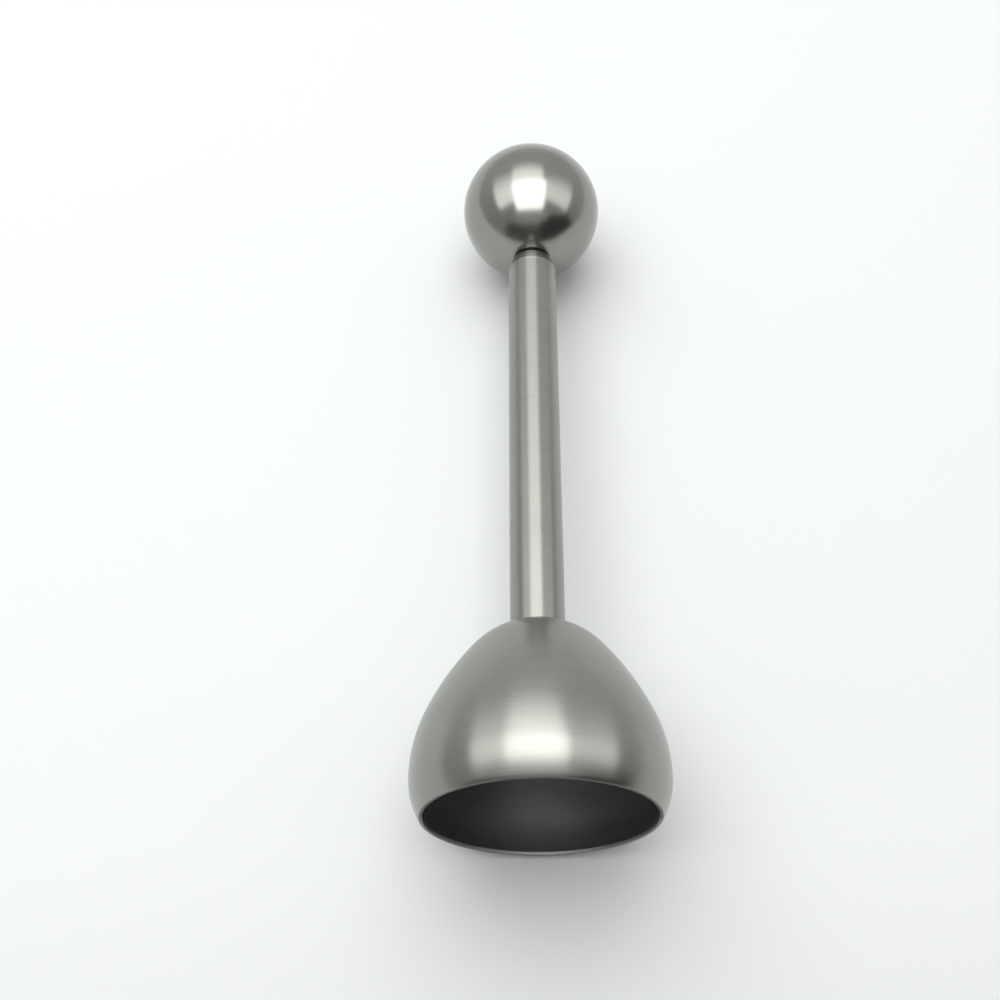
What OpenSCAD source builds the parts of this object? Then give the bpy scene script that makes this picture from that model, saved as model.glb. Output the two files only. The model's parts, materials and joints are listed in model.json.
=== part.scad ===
// Egg topper: a steel bell set on an egg, with a sprung ball plunger in its handle.
// Pulling the ball and letting it go drives the striker onto the anvil above the bell,
// and the shock cracks the shell in a clean ring under the bell's rim.
// The model stands on its rim: +Z runs up the axis to the ball, millimetres throughout.

/* [Cutting bell] */
// Largest outside diameter, at the bell's belly
bell_d = 38.56; // [32:0.02:47]
// Height of that belly above the rim
belly_z = 5.9; // [4.5:0.1:7.5]
// Thickness of the spun sheet
bell_wall = 0.7; // [0.5:0.05:1.2]
// Outline radius below the belly, where the mouth draws in
mouth_arc_r = 11.4; // [9:0.1:16]
// Outline radius just above the belly
belly_arc_r = 22.9; // [19:0.1:26]
// Slope at which the belly's arc hands over to the flank's
belly_angle = 24.6; // [18:0.1:30]
// Outline radius of the nearly straight flank
flank_arc_r = 48; // [42:0.5:60]
// Slope at which the flank's arc hands over to the crown's
flank_angle = 39.2; // [35:0.1:44]
// Width of the flat ring that the bell stands on
rim_land = 0.3; // [0.2:0.05:0.5]
// Height of the bevelled lip round the mouth
lip_h = 0.45; // [0.3:0.05:0.9]
// How far that bevel draws the lip in
lip_in = 0.3; // [0.1:0.05:0.5]

/* [Handle tube] */
// Outside diameter of the tube
tube_d = 8.64; // [7.8:0.02:11]
// Wall of the tube
tube_wall = 0.8; // [0.5:0.05:1]
// Length of the tube, from the bell's crown to the bush
tube_l = 72.4; // [60:0.1:95]

/* [Anvil and crown screw] */
// Length of the anvil plug in the foot of the tube
plug_l = 10; // [8:0.5:14]
// Nominal diameter of the crown screw
screw_d = 4; // [3:0.5:4.5]
// Length of the screw under its head
screw_l = 8; // [6:0.5:9]
// Diameter of the screw's pan head
screw_head_d = 8; // [6.5:0.1:8.2]
// Height of the screw's pan head
screw_head_h = 2.4; // [1.8:0.1:3.2]
// Outside diameter of the split lock washer
lock_washer_d = 7.6; // [6.5:0.1:8]
// Thickness of the split lock washer
lock_washer_t = 0.9; // [0.6:0.1:1.2]

/* [Guide bush] */
// Length of the spigot that is pressed into the tube
spigot_l = 8; // [5:0.5:12]
// Height of the head's band, of the tube's own diameter
bush_band_h = 0.4; // [0.2:0.1:4]
// Height of the head's bevel, above that band
bush_bevel_h = 2.04; // [0.8:0.02:3]
// How far the bevel draws the head in
bush_bevel_in = 0.65; // [0.3:0.05:1.2]

/* [Plunger] */
// Diameter of the plunger rod
rod_d = 4; // [3:0.1:4.8]
// Depth to which each end of the rod is screwed in
rod_grip = 11; // [8:0.5:14]
// Length of the striker
striker_l = 20; // [15:0.5:24]
// Diameter of the ball knob
ball_d = 25.3; // [20:0.1:32]
// Width of the flat faced on the ball round its bore
ball_flat_w = 0.6; // [0.4:0.05:1.5]
// Gap between that flat and the bush when the striker is home
ball_gap = 0.3; // [0.3:0.02:1.2]

/* [Hammer spring] */
// Diameter of the spring wire
wire_d = 0.6; // [0.4:0.05:0.75]
// Number of curls, the two closed end ones included
spring_curls = 14; // [10:1:15]
// Rise of each closed end curl
end_pitch = 1.2; // [1.1:0.05:1.4]

/* [Fits] */
// Radial clearance of pressed and screwed joints
close_fit = 0.02; // [0.01:0.01:0.04]
// Radial clearance of the rod in its bush
running_fit = 0.05; // [0.02:0.01:0.1]
// Radial clearance of the striker in the tube's bore
striker_fit = 0.32; // [0.3:0.02:0.5]
// Radial clearance round the lock washer on the flat inside the crown
washer_fit = 0.3; // [0.1:0.05:0.6]
// Gap left between the striker and the anvil at rest
strike_gap = 0.05; // [0.02:0.01:0.1]
// Clearance of the crown hole on the screw
screw_hole_fit = 0.1; // [0.05:0.05:0.2]

/* [Hidden] */

$fn = 96;
arc_steps = 8; // points along each arc of the outline
skin = 1; // how far a cutting solid runs past the face it cuts
edge = 0.3; // small turned chamfer on inner pieces
drill_tip = 59; // half angle of a drilled hole's point
split_w = 0.8; // slit in the lock washer
recess_w = 1.1; // width of each slot of the screw's cross recess
recess_l = 4.4; // length of each slot
recess_h = 1.5; // depth of each slot
spring_rings = 8; // rings of the spring's tube in a curl
spring_sides = 6; // sides of the spring's tube
ground = 0.2; // wire ground off each end of the spring

// The bell's outline: four arcs, each tangent to the next, the last centred on the axis
bell_r = bell_d / 2;
tube_r = tube_d / 2;
tube_bore_r = tube_r - tube_wall;
crown_arc_r = flank_arc_r
    + (bell_r - belly_arc_r + (belly_arc_r - flank_arc_r) * cos(belly_angle)) / cos(flank_angle);
mouth_centre = [bell_r - mouth_arc_r, belly_z];
belly_centre = [bell_r - belly_arc_r, belly_z];
flank_centre = belly_centre + (belly_arc_r - flank_arc_r) * [cos(belly_angle), sin(belly_angle)];
crown_centre = flank_centre + (flank_arc_r - crown_arc_r) * [cos(flank_angle), sin(flank_angle)];
seat_z = crown_centre.y + sqrt(crown_arc_r ^ 2 - tube_r ^ 2);
washer_seat_r = lock_washer_d / 2 + washer_fit;
crown_in_z = crown_centre.y + sqrt((crown_arc_r - bell_wall) ^ 2 - washer_seat_r ^ 2);

// Stations up the axis
plug_top_z = seat_z + plug_l;
tube_top_z = seat_z + tube_l;
bush_band_z = tube_top_z + bush_band_h;
bush_top_z = bush_band_z + bush_bevel_h;
bush_foot_z = tube_top_z - spigot_l;
striker_foot_z = plug_top_z + strike_gap;
striker_top_z = striker_foot_z + striker_l;
ball_flat_z = bush_top_z + ball_gap;
ball_centre_z = ball_flat_z + sqrt((ball_d / 2) ^ 2 - (rod_d / 2 + ball_flat_w) ^ 2);
washer_foot_z = crown_in_z - lock_washer_t;
screw_top_z = washer_foot_z + screw_l;

// The spring's centre line, a helix halfway between rod and bore whose end curls rise less
spring_r = (tube_bore_r + rod_d / 2) / 2;
spring_foot_z = striker_top_z + wire_d / 2 - ground;
spring_rise = bush_foot_z - striker_top_z - wire_d + 2 * ground;
open_pitch = (spring_rise - 2 * end_pitch) / (spring_curls - 2);
function spring_z(curl) = spring_foot_z + (
    curl < 1 ? curl * end_pitch
    : curl > spring_curls - 1 ? spring_rise - (spring_curls - curl) * end_pitch
    : end_pitch + (curl - 1) * open_pitch);
spring_path = [for (i = [0:spring_curls * spring_rings]) let (curl = i / spring_rings)
    [spring_r * cos(360 * curl), spring_r * sin(360 * curl), spring_z(curl)]];
spring_least_gap = min([
    for (i = [0:len(spring_path) - 1])
        for (j = [i + spring_rings / 2:1:len(spring_path) - 1])
            norm(spring_path[i] - spring_path[j])]) - wire_d;
echo(spring_least_gap = spring_least_gap);

// Points on an arc round a centre, from one angle to another
function arc(centre, r, from, to) =
    [for (i = [0:arc_steps]) let (a = from + (to - from) * i / arc_steps) centre + r * [cos(a), sin(a)]];

// One skin of the bell, set in from the outline, from the lip up to a height at the crown
function bell_skin(inset, top_z) = concat(
    arc(mouth_centre, mouth_arc_r - inset, -asin((belly_z - lip_h) / (mouth_arc_r - inset)), 0),
    arc(belly_centre, belly_arc_r - inset, 0, belly_angle),
    arc(flank_centre, flank_arc_r - inset, belly_angle, flank_angle),
    arc(crown_centre, crown_arc_r - inset, flank_angle,
        asin((top_z - crown_centre.y) / (crown_arc_r - inset))));

function reversed(list) = [for (i = [len(list) - 1:-1:0]) list[i]];

// A plain ring between two radii and two heights
module ring(r0, r1, z0, z1) {
    rotate_extrude() polygon([[r0, z0], [r1, z0], [r1, z1], [r0, z1]]);
}

// A rod turned with chamfered ends
module turned(r, z0, z1, foot = edge, top = edge) {
    rotate_extrude()
        polygon([[0, z0], [r - foot, z0], [r, z0 + foot], [r, z1 - top], [r - top, z1], [0, z1]]);
}

// A blind hole drilled from its mouth, with the mouth chamfered: up the axis, or down when turned over
module blind_hole(r, mouth_z, depth, turn_over = 0) {
    translate([0, 0, mouth_z]) rotate([turn_over, 0, 0]) rotate_extrude()
        polygon([[0, -skin], [r + edge + skin, -skin], [r, edge], [r, depth],
            [0, depth + r / tan(drill_tip)]]);
}

module cutting_bell() {
    outer = bell_skin(0, seat_z);
    inner = bell_skin(bell_wall, crown_in_z);
    land_r = outer[0].x - lip_in;
    hole_r = screw_d / 2 + screw_hole_fit;
    color("#a3a29c") rotate_extrude() polygon(concat(
        [[land_r - rim_land, 0], [land_r, 0]], outer,
        [[hole_r, seat_z], [hole_r, crown_in_z]], reversed(inner)));
}

module handle_tube() {
    color("#b3b2ac") ring(tube_bore_r, tube_r, seat_z, tube_top_z);
}

module anvil_plug() {
    color("#8f9092") difference() {
        turned(tube_bore_r - close_fit, seat_z, plug_top_z);
        blind_hole(screw_d / 2 + close_fit, seat_z, screw_top_z - seat_z + edge);
    }
}

module crown_screw() {
    head_foot_z = washer_foot_z - screw_head_h;
    crown_drop = screw_head_h / 2;
    head_r = screw_head_d / 2;
    dome_r = (head_r ^ 2 + crown_drop ^ 2) / (2 * crown_drop);
    dome = arc([0, head_foot_z + dome_r], dome_r, -90, -90 + asin(head_r / dome_r));
    color("#9a9a98") difference() {
        union() {
            rotate_extrude() polygon(concat(dome, [[head_r, washer_foot_z], [0, washer_foot_z]]));
            turned(screw_d / 2, washer_foot_z - edge, screw_top_z, 0);
        }
        for (a = [0, 90]) rotate(a) translate([0, 0, head_foot_z])
            cube([recess_l, recess_w, 2 * recess_h], center = true);
    }
}

module lock_washer() {
    color("#8a8a88") difference() {
        ring(screw_d / 2 + screw_hole_fit, lock_washer_d / 2, washer_foot_z, crown_in_z);
        translate([0, -split_w / 2, washer_foot_z - skin])
            cube([lock_washer_d, split_w, lock_washer_t + 2 * skin]);
    }
}

module guide_bush() {
    bore_r = rod_d / 2 + running_fit;
    spigot_r = tube_bore_r - close_fit;
    color("#aaa9a3") rotate_extrude() polygon([
        [bore_r + edge, bush_foot_z], [spigot_r - edge, bush_foot_z], [spigot_r, bush_foot_z + edge],
        [spigot_r, tube_top_z], [tube_r, tube_top_z], [tube_r, bush_band_z],
        [tube_r - bush_bevel_in, bush_top_z], [bore_r + edge, bush_top_z],
        [bore_r, bush_top_z - edge], [bore_r, bush_foot_z + edge]]);
}

module plunger_rod() {
    color("#c2c2c0") turned(rod_d / 2, striker_top_z - rod_grip, ball_flat_z + rod_grip);
}

module striker() {
    color("#8f9092") difference() {
        turned(tube_bore_r - striker_fit, striker_foot_z, striker_top_z, 2 * edge);
        blind_hole(rod_d / 2 + close_fit, striker_top_z, rod_grip, 180);
    }
}

module hammer_spring() {
    ring_count = len(spring_path);
    last = (ring_count - 1) * spring_sides;
    rings = [for (i = [0:ring_count - 1])
        let (turn = 360 * i / spring_rings)
        let (out = [cos(turn), sin(turn), 0])
        let (ahead = spring_path[min(i + 1, ring_count - 1)] - spring_path[max(i - 1, 0)])
        let (up = cross(out, ahead) / norm(cross(out, ahead)))
        for (s = [0:spring_sides - 1])
            let (a = 360 * (s + 0.5) / spring_sides)
            let (p = spring_path[i] + wire_d / 2 * (cos(a) * out + sin(a) * up))
            [p.x, p.y, min(max(p.z, striker_top_z), bush_foot_z)]];
    sides = [for (i = [0:ring_count - 2]) for (s = [0:spring_sides - 1])
        let (a = i * spring_sides + s)
        let (b = i * spring_sides + (s + 1) % spring_sides)
        each [[a, b, b + spring_sides], [a, b + spring_sides, a + spring_sides]]];
    ends = [for (s = [1:spring_sides - 2]) each [[0, s + 1, s], [last, last + s, last + s + 1]]];
    color("#77787a") polyhedron(points = rings, faces = concat(sides, ends));
}

module ball_knob() {
    color("#a8a7a1") difference() {
        translate([0, 0, ball_centre_z]) sphere(d = ball_d);
        translate([0, 0, ball_flat_z - ball_d]) cylinder(r = ball_d, h = ball_d);
        blind_hole(rod_d / 2 + close_fit, ball_flat_z, rod_grip);
    }
}

cutting_bell();
handle_tube();
anvil_plug();
crown_screw();
lock_washer();
guide_bush();
plunger_rod();
striker();
hammer_spring();
ball_knob();
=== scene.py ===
"""Egg topper in satin stainless steel: the pieces that show, their finishes and a plain stage."""

import json
import math

import bmesh
import bpy
from bpy.props import FloatProperty, FloatVectorProperty, IntProperty, PointerProperty
from mathutils import Matrix, Vector


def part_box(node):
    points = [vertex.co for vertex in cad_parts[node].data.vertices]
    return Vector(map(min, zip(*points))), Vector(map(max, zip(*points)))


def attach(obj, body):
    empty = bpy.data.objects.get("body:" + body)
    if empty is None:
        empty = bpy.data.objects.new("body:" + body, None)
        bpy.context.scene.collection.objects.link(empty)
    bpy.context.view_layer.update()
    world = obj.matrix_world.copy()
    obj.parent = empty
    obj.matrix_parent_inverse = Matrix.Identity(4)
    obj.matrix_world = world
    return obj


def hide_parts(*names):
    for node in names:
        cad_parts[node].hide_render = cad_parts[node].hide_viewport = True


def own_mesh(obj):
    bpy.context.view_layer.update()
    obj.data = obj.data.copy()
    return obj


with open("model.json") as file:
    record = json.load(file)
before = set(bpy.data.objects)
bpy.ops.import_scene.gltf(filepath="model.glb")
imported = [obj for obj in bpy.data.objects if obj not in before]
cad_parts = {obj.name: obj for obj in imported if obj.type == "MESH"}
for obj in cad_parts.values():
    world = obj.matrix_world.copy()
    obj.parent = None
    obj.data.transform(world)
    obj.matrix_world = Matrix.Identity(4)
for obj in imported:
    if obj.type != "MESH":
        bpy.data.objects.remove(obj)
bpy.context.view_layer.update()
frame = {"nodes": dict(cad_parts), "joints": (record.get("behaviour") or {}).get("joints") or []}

bl_info = {
    "name": "Egg Topper",
    "version": (1, 0, 0),
    "blender": (4, 5, 0),
    "location": "View3D > Sidebar > Egg Topper",
    "description": "A steel egg topper with a sprung ball plunger, its finishes and a stage",
    "category": "Add Mesh",
}

MM = 0.001  # one millimetre in the frame's metres
WELD = 0.0005 * MM  # points this near are one point
CREASE = math.radians(32)  # corners sharper than this stay crisp
UP = Vector((0, 0, 1))


def linear(hex_colour):
    """An sRGB hex colour as the linear red, green and blue that Blender's sockets take."""
    channels = [int(hex_colour[i:i + 2], 16) / 255 for i in (1, 3, 5)]
    return [c / 12.92 if c <= 0.04045 else ((c + 0.055) / 1.055) ** 2.4 for c in channels]


def length(name, description, default):
    """A size property in metres."""
    return FloatProperty(
        name=name, description=description, default=default, precision=6,
        subtype="DISTANCE", unit="LENGTH",
    )


def angle(name, description, degrees):
    """An angle property, given in degrees."""
    return FloatProperty(
        name=name, description=description, default=math.radians(degrees), subtype="ANGLE",
        unit="ROTATION",
    )


def colour(name, description, hex_colour):
    """A colour property, given as sRGB hex."""
    return FloatVectorProperty(
        name=name, description=description, default=linear(hex_colour), size=3, min=0, max=1,
        subtype="COLOR",
    )


def level(name, description, default):
    """A radiance property, where 1 is white."""
    return FloatProperty(name=name, description=description, default=default, min=0)


def foot(node):
    """Height of a CAD node's lowest point."""
    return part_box(node)[0].z


def top(node):
    """Height of a CAD node's highest point."""
    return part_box(node)[1].z


def radius(node):
    """Outside radius of a CAD node that is turned about the axis."""
    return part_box(node)[1].x


def pull():
    """How far the plunger can be pulled out."""
    return next(j for j in frame["joints"] if j["name"] == "plunger_pull")["range_m"][1]


# ---------------------------------------------------------------- settings


class BellSettings(bpy.types.PropertyGroup):
    """Outline of the cutting bell: four arcs, each tangent to the next, over a bevelled lip."""

    wall: length("Wall", "Thickness of the spun sheet", 0.7 * MM)
    belly_height: length("Belly height", "Height of the widest circle above the rim", 5.9 * MM)
    mouth_arc: length("Mouth arc", "Radius of the outline below the belly", 11.4 * MM)
    belly_arc: length("Belly arc", "Radius of the outline just above the belly", 22.9 * MM)
    flank_arc: length("Flank arc", "Radius of the nearly straight flank", 48 * MM)
    belly_slope: angle("Belly slope", "Slope where the belly's arc meets the flank's", 24.6)
    flank_slope: angle("Flank slope", "Slope where the flank's arc meets the crown's", 39.2)
    rim_land: length("Rim land", "Width of the flat ring that the bell stands on", 0.45 * MM)
    lip_height: length("Lip height", "Height of the bevelled lip", 0.45 * MM)
    lip_inset: length("Lip inset", "How far the bevel draws the lip in", 0.3 * MM)
    crown_hole: length("Crown hole", "Radius of the hole for the crown screw", 2.1 * MM)
    washer_seat: length("Washer seat", "Radius of the flat inside the crown", 4.1 * MM)
    lip_ease: length("Lip easing", "Rounding of the lip's corners", 0.07 * MM)


class HandleSettings(bpy.types.PropertyGroup):
    """Sizes of the tube, the bush and the plunger that the frame's boxes don't give."""

    tube_wall: length("Tube wall", "Wall of the handle tube", 0.8 * MM)
    bush_band: length("Bush band", "Height of the bush's plain band above the tube", 0.4 * MM)
    bush_bevel: length("Bush bevel", "How far the bush's bevel draws it in", 0.65 * MM)
    spigot_fit: length("Spigot fit", "Clearance of the bush's spigot in the tube", 0.02 * MM)
    running_fit: length("Running fit", "Clearance of the rod in the bush", 0.05 * MM)
    screwed_fit: length("Screwed fit", "Clearance of the rod in the ball's bore", 0.02 * MM)
    rod_grip: length("Rod grip", "Depth to which the rod is screwed into the ball", 11 * MM)
    ball_radius: length("Ball radius", "Radius of the ball knob", 12.65 * MM)
    chamfer: length("Chamfer", "Chamfer on turned ends and bores", 0.3 * MM)
    corner_ease: length("Corner easing", "Rounding of the tube's and the bush's corners", 0.06 * MM)
    drill_point: angle("Drill point", "Half angle of a drilled hole's point", 59)


class SpringSettings(bpy.types.PropertyGroup):
    """The hammer spring's winding."""

    wire: length("Wire", "Diameter of the spring wire", 0.6 * MM)
    curls: IntProperty(name="Curls", description="Curls with the closed end ones", default=14, min=4)
    end_pitch: length("End pitch", "Rise of each closed end curl", 1.2 * MM)
    ground: length("Ground ends", "Wire ground off each end", 0.2 * MM)


class MeshSettings(bpy.types.PropertyGroup):
    """How finely the pieces are cut."""

    sides: IntProperty(name="Sides", description="Steps round the axis", default=256, min=24)
    arc_step: length("Arc step", "Longest side along an arc of an outline", 0.4 * MM)
    ease_steps: IntProperty(name="Easing steps", description="Steps round a corner", default=4, min=1)
    wire_sides: IntProperty(name="Wire sides", description="Sides of the spring wire", default=12, min=6)
    curl_steps: IntProperty(name="Curl steps", description="Steps in each curl", default=40, min=12)


class FinishSettings(bpy.types.PropertyGroup):
    """Colours of the steels and of the stage."""

    satin_steel: colour("Satin steel", "Brushed stainless steel", "#92928D")
    # The inner steel is duller because it is left as spun. It is darker than the satin steel as painted
    # shade for the dim inside of the bell and its rim land.
    inner_steel_and_shade: colour("Inner steel", "The bell's inner face, left as spun", "#8A8A89")
    rod_steel: colour("Rod steel", "Ground and polished stainless rod", "#BDBDBB")
    turned_steel: colour("Turned steel", "Bright turned steel", "#9C9C9B")
    screw_steel: colour("Screw steel", "Stainless machine screw", "#A2A19D")
    washer_steel: colour("Washer steel", "Sprung stainless washer", "#8C8B88")
    wire_steel: colour("Wire steel", "Hard drawn spring wire", "#7B7C7E")
    lying_board: colour("Lying board", "Matt board that the topper lies on", "#EBEEED")
    standing_board: colour("Standing board", "Matt board that it stands on in other views", "#F7F7F7")


class StageSettings(bpy.types.PropertyGroup):
    """The camera, and how bright the room, the lamps and the cards are."""

    lens: FloatProperty(name="Lens", description="Focal length in mm, on a 36 mm sensor", default=48.6)
    camera_side: length("Camera side", "Place to the left of the axis", 5.87 * MM)
    camera_back: length("Camera back", "Distance in front of the axis", 189.66 * MM)
    camera_drop: length("Camera drop", "Distance below the rim", 62.07 * MM)
    camera_tilt: angle("Camera tilt", "Upward tilt", 31.44)
    room: level("Room", "Radiance of the room low down", 0.45)
    ceiling: level("Ceiling", "Radiance of the room overhead", 0.72)
    backdrop: level("Backdrop", "Radiance of the room where the camera looks straight at it", 0.9)
    key_lamp: level("Key lamp", "Radiance of the lamp that lights the boards", 2.0)
    main_lamp: level("Main lamp", "Radiance that the main lamp adds", 3.8)
    upper_lamp: level("Upper lamp", "Radiance that the foot of the lamp above the main one adds", 2.0)
    left_lamp: level("Left lamp", "Radiance that the left lamp adds", 1.8)
    right_lamp: level("Right lamp", "Radiance that the right lamp adds", 1.45)
    grey_card: level("Grey card", "Radiance of the card that trims the main lamp", 0.54)
    slate_card: level("Slate card", "Radiance of the card below the topper", 0.13)
    black_card: level("Black card", "Radiance of the card below the topper, to its right", 0.06)


SETTINGS = {
    "topper_bell": BellSettings,
    "topper_handle": HandleSettings,
    "topper_spring": SpringSettings,
    "topper_mesh": MeshSettings,
    "topper_finish": FinishSettings,
    "topper_stage": StageSettings,
}


# ---------------------------------------------------------------- materials

# The lines that brushing, grinding and turning leave on steel are taken to be a tenth of a millimetre
# apart or less. That is too fine to show, so every finish draws its lines coarser, 0.2 mm apart or more.
BRUSHING = 0.25 * MM
GRINDING = 0.2 * MM
GRAIN_RUN = 0.7  # about how many radians round the axis a line of the grain runs before it fades out
CLOUD_SCALE = 90.0  # soft patches of tone to a metre, so that each is about 11 mm across
CLOUD_TONES = (0.94, 1.05)  # how far the patches darken and lighten the steel
LINE_TONES = (0.9, 1.08)  # how far its lines do
LINE_ROUGHNESS = (0.85, 1.15)  # how far its lines lower and raise the roughness
QUARTER_TURN = 0.25  # turns the smear of reflections from round the piece to up and down it


def add_node(tree, kind, inputs=None, **settings):
    """Adds a node: settings are its properties; inputs, by name or number, take a value or a socket."""
    made = tree.nodes.new("ShaderNode" + kind)
    for name, value in settings.items():
        setattr(made, name, value)
    for name, value in (inputs or {}).items():
        if isinstance(value, bpy.types.NodeSocket):
            tree.links.new(value, made.inputs[name])
        else:
            made.inputs[name].default_value = value
    return made


def empty_material(name):
    """A node material with nothing in it but its output."""
    material = bpy.data.materials.new(name)
    material.use_nodes = True
    tree = material.node_tree
    tree.nodes.clear()
    return material, tree, add_node(tree, "OutputMaterial")


def turned_grain(tree, line):
    """Grain left by a tool or an abrasive that ran round the axis, from 0 to 1: lines this far apart."""
    place = add_node(tree, "TexCoord").outputs["Object"]
    across = add_node(tree, "VectorMath", {0: place, 1: (1, 1, 0)}, operation="MULTIPLY").outputs[0]
    reach = add_node(tree, "VectorMath", {0: across}, operation="LENGTH").outputs["Value"]
    heading = add_node(tree, "VectorMath", {0: across}, operation="NORMALIZE").outputs[0]
    lines = add_node(tree, "VectorMath", {0: place, 1: (0, 0, 1 / line)}, operation="MULTIPLY").outputs[0]
    spot = add_node(
        tree, "VectorMath", {0: heading, 1: (1 / GRAIN_RUN,) * 3, 2: lines}, operation="MULTIPLY_ADD",
    ).outputs[0]
    ring = add_node(tree, "Math", {0: reach, 1: 1 / line}, operation="MULTIPLY").outputs[0]
    return add_node(
        tree, "TexNoise", {"Vector": spot, "W": ring, "Scale": 1.0, "Detail": 3.0, "Roughness": 0.6},
        noise_dimensions="4D",
    ).outputs[0]


def spread(tree, value, low, high):
    """Maps a value from 0 to 1 onto low to high."""
    return add_node(tree, "MapRange", {"Value": value, "To Min": low, "To Max": high}).outputs[0]


def brushed_metal(name, tint, rough, sheen_stretch, line, groove):
    """A metal worked round the axis: lines this far apart and grooves this deep. Reflections smear across
    the grooves, up and down the piece, as sheen_stretch grows to 1."""
    material, tree, output = empty_material(name)
    grain = turned_grain(tree, line)
    place = add_node(tree, "TexCoord").outputs["Object"]
    cloud = add_node(
        tree, "TexNoise", {"Vector": place, "Scale": CLOUD_SCALE, "Detail": 2.0}, noise_dimensions="3D",
    ).outputs[0]
    shade = spread(tree, cloud, *CLOUD_TONES)
    streak = spread(tree, grain, *LINE_TONES)
    tone = add_node(tree, "Math", {0: shade, 1: streak}, operation="MULTIPLY").outputs[0]
    colour_out = add_node(tree, "VectorMath", {0: tuple(tint), 1: tone}, operation="MULTIPLY").outputs[0]
    rough_out = spread(tree, grain, *(rough * share for share in LINE_ROUGHNESS))
    bump = add_node(tree, "Bump", {"Height": grain, "Strength": 1.0, "Distance": groove}).outputs[0]
    tangent = add_node(tree, "Tangent", direction_type="RADIAL", axis="Z").outputs[0]
    shader = add_node(
        tree, "BsdfPrincipled",
        {
            "Base Color": colour_out, "Metallic": 1.0, "Roughness": rough_out,
            "Anisotropic": sheen_stretch, "Anisotropic Rotation": QUARTER_TURN,
            "Tangent": tangent, "Normal": bump,
        },
    )
    tree.links.new(shader.outputs[0], output.inputs["Surface"])
    return material


def spun_stainless():
    """Spun stainless sheet, brushed on the lathe: a satin that smears light up and down the bell."""
    return brushed_metal(
        "Spun stainless, satin brushed", bpy.context.scene.topper_finish.satin_steel,
        rough=0.29, sheen_stretch=0.72, line=BRUSHING, groove=0.0014 * MM,
    )


def spun_inner_face_and_shade():
    """The bell's inner face, left as it was spun: duller, with coarser tool lines, and darker as painted
    shade for the dim inside of the bell and the rim land.
    """
    return brushed_metal(
        "Spun stainless, left as spun, with painted shade", bpy.context.scene.topper_finish.inner_steel_and_shade,
        rough=0.5, sheen_stretch=0.4, line=0.5 * MM, groove=0.003 * MM,
    )


def drawn_tube_finish():
    """Drawn stainless tube, linished while it turned: a crisp bright streak with faint rings across it."""
    return brushed_metal(
        "Drawn stainless tube, linished", bpy.context.scene.topper_finish.satin_steel,
        rough=0.29, sheen_stretch=0.8, line=BRUSHING, groove=0.0006 * MM,
    )


def turned_ball_finish():
    """Stainless ball, polished on the lathe: reflections stay readable, with soft edges."""
    return brushed_metal(
        "Turned stainless ball, fine satin", bpy.context.scene.topper_finish.satin_steel,
        rough=0.2, sheen_stretch=0.5, line=BRUSHING, groove=0.001 * MM,
    )


def ground_rod_finish():
    """Centreless-ground and polished stainless rod: nearly a mirror, with faint rings."""
    return brushed_metal(
        "Ground stainless rod, polished", bpy.context.scene.topper_finish.rod_steel,
        rough=0.1, sheen_stretch=0.3, line=GRINDING, groove=0.0005 * MM,
    )


def turned_bar_finish():
    """Stainless bar turned to size: feed marks stand out as fine rings."""
    return brushed_metal(
        "Turned stainless bar", bpy.context.scene.topper_finish.turned_steel,
        rough=0.3, sheen_stretch=0.6, line=0.3 * MM, groove=0.008 * MM,
    )


def screw_finish():
    """Cold-headed stainless screw, tumbled: dull and even."""
    return brushed_metal(
        "Stainless machine screw, tumbled", bpy.context.scene.topper_finish.screw_steel,
        rough=0.35, sheen_stretch=0.0, line=0.4 * MM, groove=0.003 * MM,
    )


def washer_finish():
    """Rolled and sprung stainless washer: grey and dull."""
    return brushed_metal(
        "Sprung stainless washer", bpy.context.scene.topper_finish.washer_steel,
        rough=0.42, sheen_stretch=0.0, line=0.4 * MM, groove=0.004 * MM,
    )


def wire_finish():
    """Hard drawn stainless spring wire: dark and smooth from the drawing soap."""
    return brushed_metal(
        "Hard drawn spring wire", bpy.context.scene.topper_finish.wire_steel,
        rough=0.3, sheen_stretch=0.0, line=0.3 * MM, groove=0.001 * MM,
    )


def board_finish(name, tint):
    """Matt white board, seen from its front only, so that it never hides the topper."""
    material, tree, output = empty_material(name)
    board = add_node(tree, "BsdfDiffuse", {"Color": (*tint, 1.0)}).outputs[0]
    clear = add_node(tree, "BsdfTransparent").outputs[0]
    back = add_node(tree, "NewGeometry").outputs["Backfacing"]
    mixed = add_node(tree, "MixShader", {0: back, 1: board, 2: clear}).outputs[0]
    tree.links.new(mixed, output.inputs["Surface"])
    return material


def card_finish(name, strength):
    """Plain grey card: an even glow of this strength, which the steel reflects as grey."""
    material, tree, output = empty_material(name)
    grey = add_node(tree, "Emission", {"Color": (1, 1, 1, 1), "Strength": strength}).outputs[0]
    tree.links.new(grey, output.inputs["Surface"])
    return material


# ---------------------------------------------------------------- modelling


def line_to(bm, tip, r, z):
    """Draws a straight side of an outline from tip to radius r and height z. Returns the new tip."""
    made = bmesh.ops.extrude_vert_indiv(bm, verts=[tip])
    made["verts"][0].co = (r, 0, z)
    return made["verts"][0]


def arc_to(bm, tip, centre, turn):
    """Draws an arc of an outline from tip round centre, a radius and a height. Returns the new tip."""
    reach = math.hypot(tip.co.x - centre[0], tip.co.z - centre[1])
    steps = max(2, math.ceil(reach * abs(turn) / bpy.context.scene.topper_mesh.arc_step))
    made = bmesh.ops.spin(
        bm, geom=[tip], cent=(centre[0], 0, centre[1]), axis=(0, -1, 0), angle=turn, steps=steps,
    )
    return next(item for item in made["geom_last"] if isinstance(item, bmesh.types.BMVert))


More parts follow.
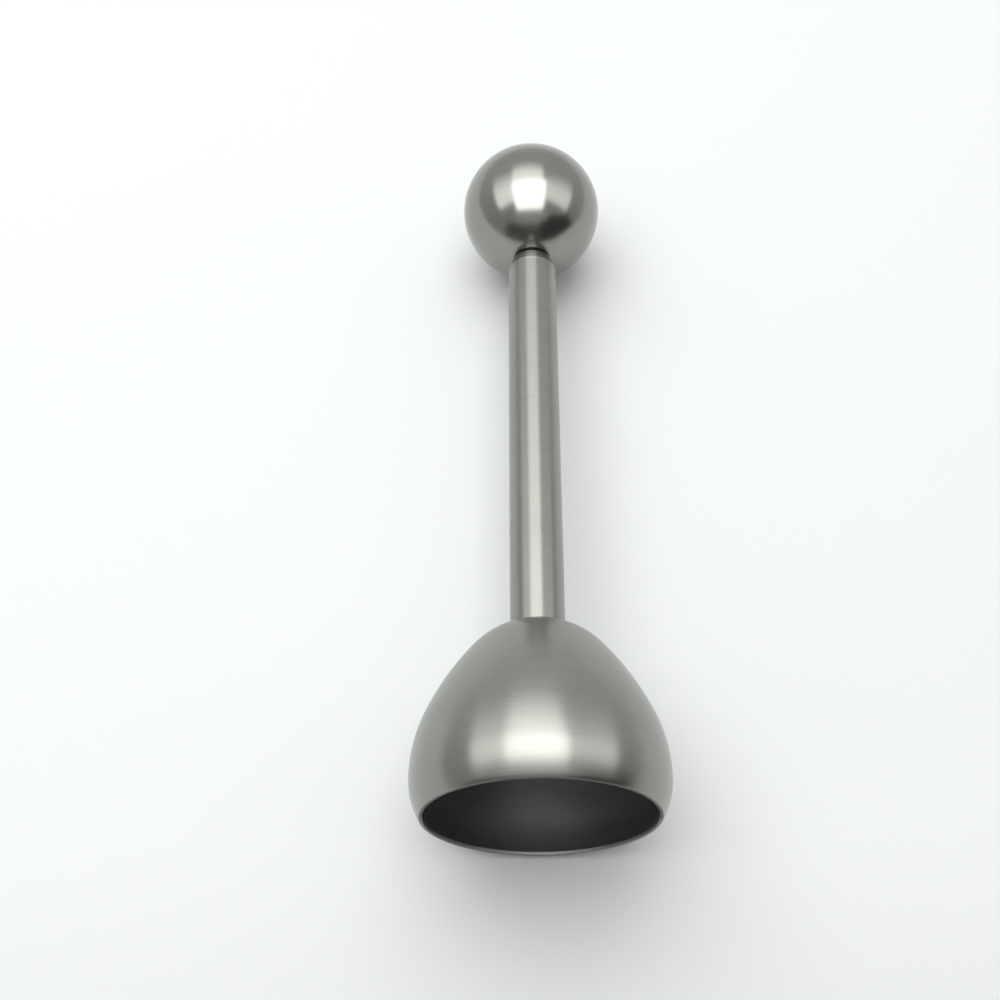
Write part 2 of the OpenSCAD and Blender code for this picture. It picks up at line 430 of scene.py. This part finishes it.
def lathe(bm):
    """Turns an outline once round the axis, welds it there and points its faces out."""
    bmesh.ops.spin(
        bm, geom=bm.verts[:] + bm.edges[:], cent=(0, 0, 0), axis=UP, angle=math.tau,
        steps=bpy.context.scene.topper_mesh.sides, use_merge=True,
    )
    bmesh.ops.remove_doubles(bm, verts=bm.verts, dist=WELD)
    bmesh.ops.recalc_face_normals(bm, faces=bm.faces)


def at_corner(edge, r, z):
    """Whether an edge runs round the axis at radius r and height z."""
    near = 4 * WELD
    return all(abs(v.co.xy.length - r) < near and abs(v.co.z - z) < near for v in edge.verts)


def ease(bm, corners, size):
    """Rounds the corners that run round the axis at the given radii and heights."""
    edges = [e for e in bm.edges if any(at_corner(e, r, z) for r, z in corners)]
    if len(edges) != len(corners) * bpy.context.scene.topper_mesh.sides:
        raise RuntimeError(f"a corner to round is missing: {corners}")
    bmesh.ops.bevel(
        bm, geom=edges, offset=size, offset_type="OFFSET", affect="EDGES",
        segments=bpy.context.scene.topper_mesh.ease_steps, profile=0.5, material=-1,
    )


def cut_rings(bm, heights):
    """Cuts rings of edges at these heights, which keep the shading of a long side even."""
    for height in heights:
        bmesh.ops.bisect_plane(
            bm, geom=bm.verts[:] + bm.edges[:] + bm.faces[:], plane_co=(0, 0, height), plane_no=UP,
        )


def finished(bm, name, materials):
    """The piece as a smooth-shaded object at the origin. Every piece is closed all round."""
    if not bm.faces or any(not e.is_manifold for e in bm.edges):
        raise RuntimeError(f"{name} is not a closed solid")
    mesh = bpy.data.meshes.new(name)
    bm.to_mesh(mesh)
    bm.free()
    mesh.shade_smooth()
    mesh.set_sharp_from_angle(angle=CREASE)
    for material in materials:
        mesh.materials.append(material)
    piece = bpy.data.objects.new(name, mesh)
    bpy.context.scene.collection.objects.link(piece)
    return piece


def bell_skin(s, inset, crown_r):
    """One skin of the bell, set in from the outline: its lip's radius and its arcs from the lip up, each
    a centre and a turn."""
    bell_r = radius("cutting_bell")
    mouth = Vector((bell_r - s.mouth_arc, s.belly_height))
    belly = Vector((bell_r - s.belly_arc, s.belly_height))
    flank = belly + (s.belly_arc - s.flank_arc) * Vector((math.cos(s.belly_slope), math.sin(s.belly_slope)))
    crown_arc = s.flank_arc + flank.x / math.cos(s.flank_slope)
    crown = Vector((0, flank.y + (s.flank_arc - crown_arc) * math.sin(s.flank_slope)))
    lip_turn = math.asin((s.belly_height - s.lip_height) / (s.mouth_arc - inset))
    crown_slope = math.acos(crown_r / (crown_arc - inset))
    arcs = [
        (mouth, lip_turn),
        (belly, s.belly_slope),
        (flank, s.flank_slope - s.belly_slope),
        (crown, crown_slope - s.flank_slope),
    ]
    return mouth.x + (s.mouth_arc - inset) * math.cos(lip_turn), arcs


class TOPPER_OT_bell(bpy.types.Operator):
    """Spins the cutting bell from its outline, with a bevelled lip, and a duller inner face and land whose
    darker steel is partly painted shade
    """

    bl_idname = "topper.bell"
    bl_label = "Cutting bell"

    def execute(self, context):
        s = context.scene.topper_bell
        lip_r, outer = bell_skin(s, 0, radius("handle_tube"))
        inner_r, inner = bell_skin(s, s.wall, s.washer_seat)
        land_r = lip_r - s.lip_inset
        seat, crown_in = foot("handle_tube"), top("lock_washer")
        bm = bmesh.new()
        start = bm.verts.new((land_r - s.rim_land, 0, 0))
        tip = line_to(bm, start, land_r, 0)
        tip = line_to(bm, tip, lip_r, s.lip_height)
        for centre, turn in outer:
            tip = arc_to(bm, tip, centre, turn)
        tip = line_to(bm, tip, s.crown_hole, seat)
        tip = line_to(bm, tip, s.crown_hole, crown_in)
        tip = line_to(bm, tip, s.washer_seat, crown_in)
        for centre, turn in reversed(inner):
            tip = arc_to(bm, tip, centre, -turn)
        bm.edges.new((tip, start))
        lathe(bm)
        cavity = Vector((0, 0, s.belly_height))
        for face in bm.faces:
            middle = face.calc_center_median()
            faces_cavity = face.normal.dot(middle - cavity) < 0
            is_land = middle.z < WELD
            # The land takes the inner face's darker steel too. This is painted shade on the rim, where it
            # faces the shadow under the bell.
            face.material_index = int(faces_cavity or is_land)
        ease(bm, [(land_r - s.rim_land, 0), (land_r, 0), (lip_r, s.lip_height)], s.lip_ease)
        piece = finished(bm, "bell", [spun_stainless(), spun_inner_face_and_shade()])
        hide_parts("cutting_bell")
        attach(piece, "handle")
        return {"FINISHED"}


class TOPPER_OT_tube(bpy.types.Operator):
    """Turns the handle tube, with its end corners just broken"""

    bl_idname = "topper.tube"
    bl_label = "Handle tube"

    def execute(self, context):
        s = context.scene.topper_handle
        outer, bore = radius("handle_tube"), radius("handle_tube") - s.tube_wall
        low, high = foot("handle_tube"), top("handle_tube")
        bm = bmesh.new()
        start = bm.verts.new((bore, 0, low))
        tip = line_to(bm, start, outer, low)
        tip = line_to(bm, tip, outer, high)
        tip = line_to(bm, tip, bore, high)
        bm.edges.new((tip, start))
        lathe(bm)
        ease(bm, [(r, z) for r in (bore, outer) for z in (low, high)], s.corner_ease)
        margin = 3 * s.corner_ease
        cut_rings(bm, [low + margin, high - margin])
        piece = finished(bm, "tube", [drawn_tube_finish()])
        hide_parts("handle_tube")
        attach(piece, "handle")
        return {"FINISHED"}


class TOPPER_OT_bush(bpy.types.Operator):
    """Turns the guide bush: a spigot in the tube and a bevelled head on top of it"""

    bl_idname = "topper.bush"
    bl_label = "Guide bush"

    def execute(self, context):
        s, cut = context.scene.topper_handle, context.scene.topper_handle.chamfer
        bore = radius("plunger_rod") + s.running_fit
        tube_r, tube_top = radius("handle_tube"), top("handle_tube")
        spigot = tube_r - s.tube_wall - s.spigot_fit
        low, high = foot("guide_bush"), top("guide_bush")
        bevel_r = tube_r - s.bush_bevel
        bm = bmesh.new()
        start = bm.verts.new((bore + cut, 0, low))
        tip = line_to(bm, start, spigot - cut, low)
        tip = line_to(bm, tip, spigot, low + cut)
        tip = line_to(bm, tip, spigot, tube_top)
        tip = line_to(bm, tip, tube_r, tube_top)
        tip = line_to(bm, tip, tube_r, tube_top + s.bush_band)
        tip = line_to(bm, tip, bevel_r, high)
        tip = line_to(bm, tip, bore + cut, high)
        tip = line_to(bm, tip, bore, high - cut)
        tip = line_to(bm, tip, bore, low + cut)
        bm.edges.new((tip, start))
        lathe(bm)
        ease(bm, [(tube_r, tube_top), (tube_r, tube_top + s.bush_band), (bevel_r, high)], s.corner_ease)
        piece = finished(bm, "bush", [drawn_tube_finish()])
        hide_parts("guide_bush")
        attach(piece, "handle")
        return {"FINISHED"}


class TOPPER_OT_ball(bpy.types.Operator):
    """Turns the ball knob, with a flat and a blind bore for the rod below"""

    bl_idname = "topper.ball"
    bl_label = "Ball knob"

    def execute(self, context):
        s = context.scene.topper_handle
        low, centre = foot("ball_knob"), top("ball_knob") - s.ball_radius
        bore = radius("plunger_rod") + s.screwed_fit
        flat_r = math.sqrt(s.ball_radius ** 2 - (centre - low) ** 2)
        bore_end = low + s.rod_grip
        bm = bmesh.new()
        start = bm.verts.new((0, 0, bore_end + bore / math.tan(s.drill_point)))
        tip = line_to(bm, start, bore, bore_end)
        tip = line_to(bm, tip, bore, low + s.chamfer)
        tip = line_to(bm, tip, bore + s.chamfer, low)
        tip = line_to(bm, tip, flat_r, low)
        arc_to(bm, tip, (0, centre), math.acos((low - centre) / s.ball_radius))
        lathe(bm)
        ease(bm, [(flat_r, low)], s.corner_ease)
        piece = finished(bm, "ball", [turned_ball_finish()])
        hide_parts("ball_knob")
        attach(piece, "plunger")
        return {"FINISHED"}


class TOPPER_OT_rod(bpy.types.Operator):
    """Turns the plunger rod, which shows when the ball is pulled"""

    bl_idname = "topper.rod"
    bl_label = "Plunger rod"

    def execute(self, context):
        cut = context.scene.topper_handle.chamfer
        rod_r, low, high = radius("plunger_rod"), foot("plunger_rod"), top("plunger_rod")
        bm = bmesh.new()
        tip = line_to(bm, bm.verts.new((0, 0, low)), rod_r - cut, low)
        tip = line_to(bm, tip, rod_r, low + cut)
        tip = line_to(bm, tip, rod_r, high - cut)
        tip = line_to(bm, tip, rod_r - cut, high)
        line_to(bm, tip, 0, high)
        lathe(bm)
        piece = finished(bm, "rod", [ground_rod_finish()])
        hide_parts("plunger_rod")
        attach(piece, "plunger")
        return {"FINISHED"}


class TOPPER_OT_spring(bpy.types.Operator):
    """Winds the hammer spring, closed and ground at both ends"""

    bl_idname = "topper.spring"
    bl_label = "Hammer spring"

    def execute(self, context):
        s, m = context.scene.topper_spring, context.scene.topper_mesh
        low, high = foot("hammer_spring"), top("hammer_spring")
        bore = radius("handle_tube") - context.scene.topper_handle.tube_wall
        coil_r = (bore + radius("plunger_rod")) / 2
        rise = high - low - s.wire + 2 * s.ground
        start = Vector((coil_r, 0, low + s.wire / 2 - s.ground))
        bm = bmesh.new()
        section = bmesh.ops.create_circle(
            bm, segments=m.wire_sides, radius=s.wire / 2,
            matrix=Matrix.Translation(start) @ Matrix.Rotation(math.radians(90), 4, "X"),
        )["verts"]
        section += list({e for v in section for e in v.link_edges})
        for curls, climb in ((1, s.end_pitch), (s.curls - 2, rise - 2 * s.end_pitch), (1, s.end_pitch)):
            steps = curls * m.curl_steps
            section = bmesh.ops.spin(
                bm, geom=section, cent=(0, 0, 0), axis=UP, dvec=(0, 0, climb / steps),
                angle=curls * math.tau, steps=steps,
            )["geom_last"]
        for height, out in ((low, -UP), (high, UP)):
            bmesh.ops.bisect_plane(
                bm, geom=bm.verts[:] + bm.edges[:] + bm.faces[:], plane_co=(0, 0, height), plane_no=out,
                clear_outer=True,
            )
        bmesh.ops.holes_fill(bm, edges=[e for e in bm.edges if e.is_boundary])
        bmesh.ops.recalc_face_normals(bm, faces=bm.faces)
        piece = finished(bm, "spring", [wire_finish()])
        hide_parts("hammer_spring")
        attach(piece, "spring")
        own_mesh(piece)
        return {"FINISHED"}


class TOPPER_OT_inner_parts(bpy.types.Operator):
    """Finishes the parts inside: the anvil, the striker, the crown screw and its washer"""

    bl_idname = "topper.inner_parts"
    bl_label = "Inner parts"

    def execute(self, context):
        turned = turned_bar_finish()
        finishes = {
            "anvil_plug": turned, "striker": turned,
            "crown_screw": screw_finish(), "lock_washer": washer_finish(),
        }
        for name, material in finishes.items():
            mesh = frame["nodes"][name].data
            mesh.materials.clear()
            mesh.materials.append(material)
        return {"FINISHED"}


# ---------------------------------------------------------------- stage


LYING_REACH = 0.7  # how far the lying board runs each way from where it is nearest the bell
STANDING_REACH = 0.65  # how far the standing board runs each way from the axis
BOARD_GAP = 0.05 * MM  # clearance between the bell and the lying board
ROOM_SLOPES = (-0.5, 0.65)  # sines of the slopes between which the room brightens towards its ceiling

# Soft rectangular lamps that show only in the steel: name, centre, width and height, and the share of the
# height at which the lamp starts to fade towards its top. Each faces the axis at its own height.
LAMPS = (
    ("Main lamp", (-0.06, -0.85, -0.1), (0.86, 0.92), 0.95),
    ("Upper lamp", (-0.09, -0.85, 0.74), (0.76, 0.76), 0.0),
    ("Left lamp", (-0.719, -0.695, 0.315), (0.536, 1.17), 0.25),
    ("Right lamp", (0.707, -0.707, 0.25), (0.76, 1.0), 0.25),
)

# The lamp that lights the boards and isn't reflected by the steel. It faces the middle of the rim.
KEY_LAMP = ("Key lamp", (-0.15, -0.75, 0.22), (1, 1), 0.9)

# Cards that the steel reflects and the camera doesn't see: name, centre, degrees of tilt about X, and
# width and height. They also light and shade the boards a little.
CARDS = (
    ("Grey card", (0, -0.204, -0.311), 90, (0.34, 0.5)),
    ("Slate card", (0, -0.07, -0.2), 0, (0.57, 0.18)),
    ("Black card", (0.45, -0.14, -0.198), 0, (0.72, 0.28)),
)


def level_of(stage, name):
    """The radiance property of the lamp or card with this name."""
    return getattr(stage, name.lower().replace(" ", "_"))


def add_lamp(name, size, place, aim, radiance, fade):
    """A soft rectangular lamp that the camera doesn't see. Size is its width and height, and it fades from
    this share of its height to nothing at its top."""
    data = bpy.data.lights.new(name, "AREA")
    data.shape = "RECTANGLE"
    data.size, data.size_y = size
    data.energy = radiance * math.pi * size[0] * size[1]
    data.use_nodes = True
    tree = data.node_tree
    place_on_lamp = add_node(tree, "NewGeometry").outputs["Parametric"]
    rise = add_node(tree, "SeparateXYZ", {0: place_on_lamp}).outputs["Y"]
    glow = add_node(
        tree, "MapRange", {"Value": rise, "From Min": fade, "From Max": 1, "To Min": 1, "To Max": 0},
        interpolation_type="SMOOTHSTEP",
    ).outputs[0]
    tree.links.new(glow, tree.nodes["Emission"].inputs["Strength"])
    lamp = bpy.data.objects.new(name, data)
    bpy.context.scene.collection.objects.link(lamp)
    lamp.location = place
    lamp.rotation_euler = (Vector(aim) - Vector(place)).to_track_quat("-Z", "Y").to_euler()
    lamp.visible_camera = False
    return lamp


def add_sheet(name, size, matrix, material):
    """A flat rectangle that faces its own +Z, put in place by matrix."""
    bm = bmesh.new()
    bmesh.ops.create_grid(bm, x_segments=1, y_segments=1, size=0.5)
    bmesh.ops.scale(bm, vec=(size[0], size[1], 1), verts=bm.verts)
    bmesh.ops.transform(bm, matrix=matrix, verts=bm.verts)
    mesh = bpy.data.meshes.new(name)
    bm.to_mesh(mesh)
    bm.free()
    mesh.materials.append(material)
    sheet = bpy.data.objects.new(name, mesh)
    bpy.context.scene.collection.objects.link(sheet)
    return sheet


class TOPPER_OT_stage(bpy.types.Operator):
    """Sets up the boards, the lamps, the cards, the room and the camera"""

    bl_idname = "topper.stage"
    bl_label = "Stage"

    def execute(self, context):
        s = context.scene.topper_stage
        self.add_floors(context)
        self.add_lights(s)
        context.scene.world = self.plain_room(s)
        camera_data = bpy.data.cameras.new("Camera")
        camera_data.lens = s.lens
        camera_data.clip_start = 10 * MM
        camera = bpy.data.objects.new("Camera", camera_data)
        context.scene.collection.objects.link(camera)
        camera.location = (-s.camera_side, -s.camera_back, -s.camera_drop)
        camera.rotation_euler = (math.radians(90) + s.camera_tilt, 0, 0)
        context.scene.camera = camera
        context.scene.view_settings.view_transform = "Standard"
        return {"FINISHED"}

    def plain_room(self, s):
        """A plain pale room that is brighter overhead, and nearly white to the camera."""
        world = bpy.data.worlds.new("Plain room")
        world.use_nodes = True
        tree = world.node_tree
        heading = add_node(tree, "TexCoord").outputs["Generated"]
        height = add_node(tree, "SeparateXYZ", {0: heading}).outputs["Z"]
        strength = add_node(
            tree, "MapRange",
            {
                "Value": height, "From Min": ROOM_SLOPES[0], "From Max": ROOM_SLOPES[1],
                "To Min": s.room, "To Max": s.ceiling,
            },
        ).outputs[0]
        tree.nodes["Background"].inputs["Color"].default_value = (1, 1, 1, 1)
        seen = add_node(tree, "LightPath").outputs["Is Camera Ray"]
        backdrop = add_node(tree, "Math", {0: seen, 1: s.backdrop}, operation="MULTIPLY").outputs[0]
        shown = add_node(tree, "Math", {0: strength, 1: backdrop}, operation="MAXIMUM").outputs[0]
        tree.links.new(shown, tree.nodes["Background"].inputs["Strength"])
        return world

    def add_floors(self, context):
        """The board that the topper lies on, which leaves the ball room to be pulled, and the one that it
        stands on in other views."""
        bell, ball_r = context.scene.topper_bell, context.scene.topper_handle.ball_radius
        finish = context.scene.topper_finish
        # The lying board leans as the line that touches both the belly's arc and the ball at full pull.
        belly = Vector((radius("cutting_bell") - bell.belly_arc, bell.belly_height))
        gap = Vector((0, top("ball_knob") - ball_r + pull())) - belly
        lean = math.asin((bell.belly_arc - ball_r) / gap.length) - math.atan2(gap.x, gap.y)
        reach = bell.belly_arc + BOARD_GAP
        touch = Vector((0, belly.x + reach * math.cos(lean), belly.y + reach * math.sin(lean)))
        upright = Matrix.Rotation(math.radians(90) + lean, 4, "X")
        lying = add_sheet(
            "lying_board", (2 * LYING_REACH, 2 * LYING_REACH), Matrix.Translation(touch) @ upright,
            board_finish("Matt board, lying", finish.lying_board),
        )
        lying.visible_shadow = False
        lying.visible_diffuse = False
        standing = add_sheet(
            "standing_board", (2 * STANDING_REACH, 2 * STANDING_REACH), Matrix.Identity(4),
            board_finish("Matt board, standing", finish.standing_board),
        )
        standing.visible_glossy = False
        standing.visible_diffuse = False
        standing.visible_shadow = False

    def add_lights(self, s):
        """The lamps and cards that the steel reflects, and the key lamp that lights the boards."""
        for name, place, size, fade in LAMPS:
            lamp = add_lamp(name, size, place, (0, 0, place[2]), level_of(s, name), fade)
            lamp.visible_diffuse = False
        name, place, size, fade = KEY_LAMP
        key = add_lamp(name, size, place, (0, 0, 0), level_of(s, name), fade)
        key.visible_glossy = False
        for name, place, tilt, size in CARDS:
            tilted = Matrix.Rotation(math.radians(tilt), 4, "X")
            card = add_sheet(
                name.lower().replace(" ", "_"), size, Matrix.Translation(place) @ tilted,
                card_finish(name, level_of(s, name)),
            )
            card.visible_camera = False


# ---------------------------------------------------------------- add-on

OPERATORS = (
    TOPPER_OT_bell, TOPPER_OT_tube, TOPPER_OT_bush, TOPPER_OT_ball, TOPPER_OT_rod, TOPPER_OT_spring,
    TOPPER_OT_inner_parts, TOPPER_OT_stage,
)


class TOPPER_PT_sidebar(bpy.types.Panel):
    """The topper's pieces, in the order in which they are made"""

    bl_label = "Egg Topper"
    bl_idname = "TOPPER_PT_sidebar"
    bl_space_type = "VIEW_3D"
    bl_region_type = "UI"
    bl_category = "Egg Topper"

    def draw(self, context):
        for operator in OPERATORS:
            self.layout.operator(operator.bl_idname)


def register():
    """Registers the settings, the operators and the panel."""
    for name, group in SETTINGS.items():
        bpy.utils.register_class(group)
        setattr(bpy.types.Scene, name, PointerProperty(type=group))
    for made in (*OPERATORS, TOPPER_PT_sidebar):
        bpy.utils.register_class(made)


def unregister():
    """Takes them away again."""
    for made in (*OPERATORS, TOPPER_PT_sidebar):
        bpy.utils.unregister_class(made)
    for name, group in SETTINGS.items():
        delattr(bpy.types.Scene, name)
        bpy.utils.unregister_class(group)


def main():
    """Makes every piece and the stage."""
    register()
    bpy.ops.topper.bell()
    bpy.ops.topper.tube()
    bpy.ops.topper.bush()
    bpy.ops.topper.ball()
    bpy.ops.topper.rod()
    bpy.ops.topper.spring()
    bpy.ops.topper.inner_parts()
    bpy.ops.topper.stage()


if __name__ == "__main__":
    main()
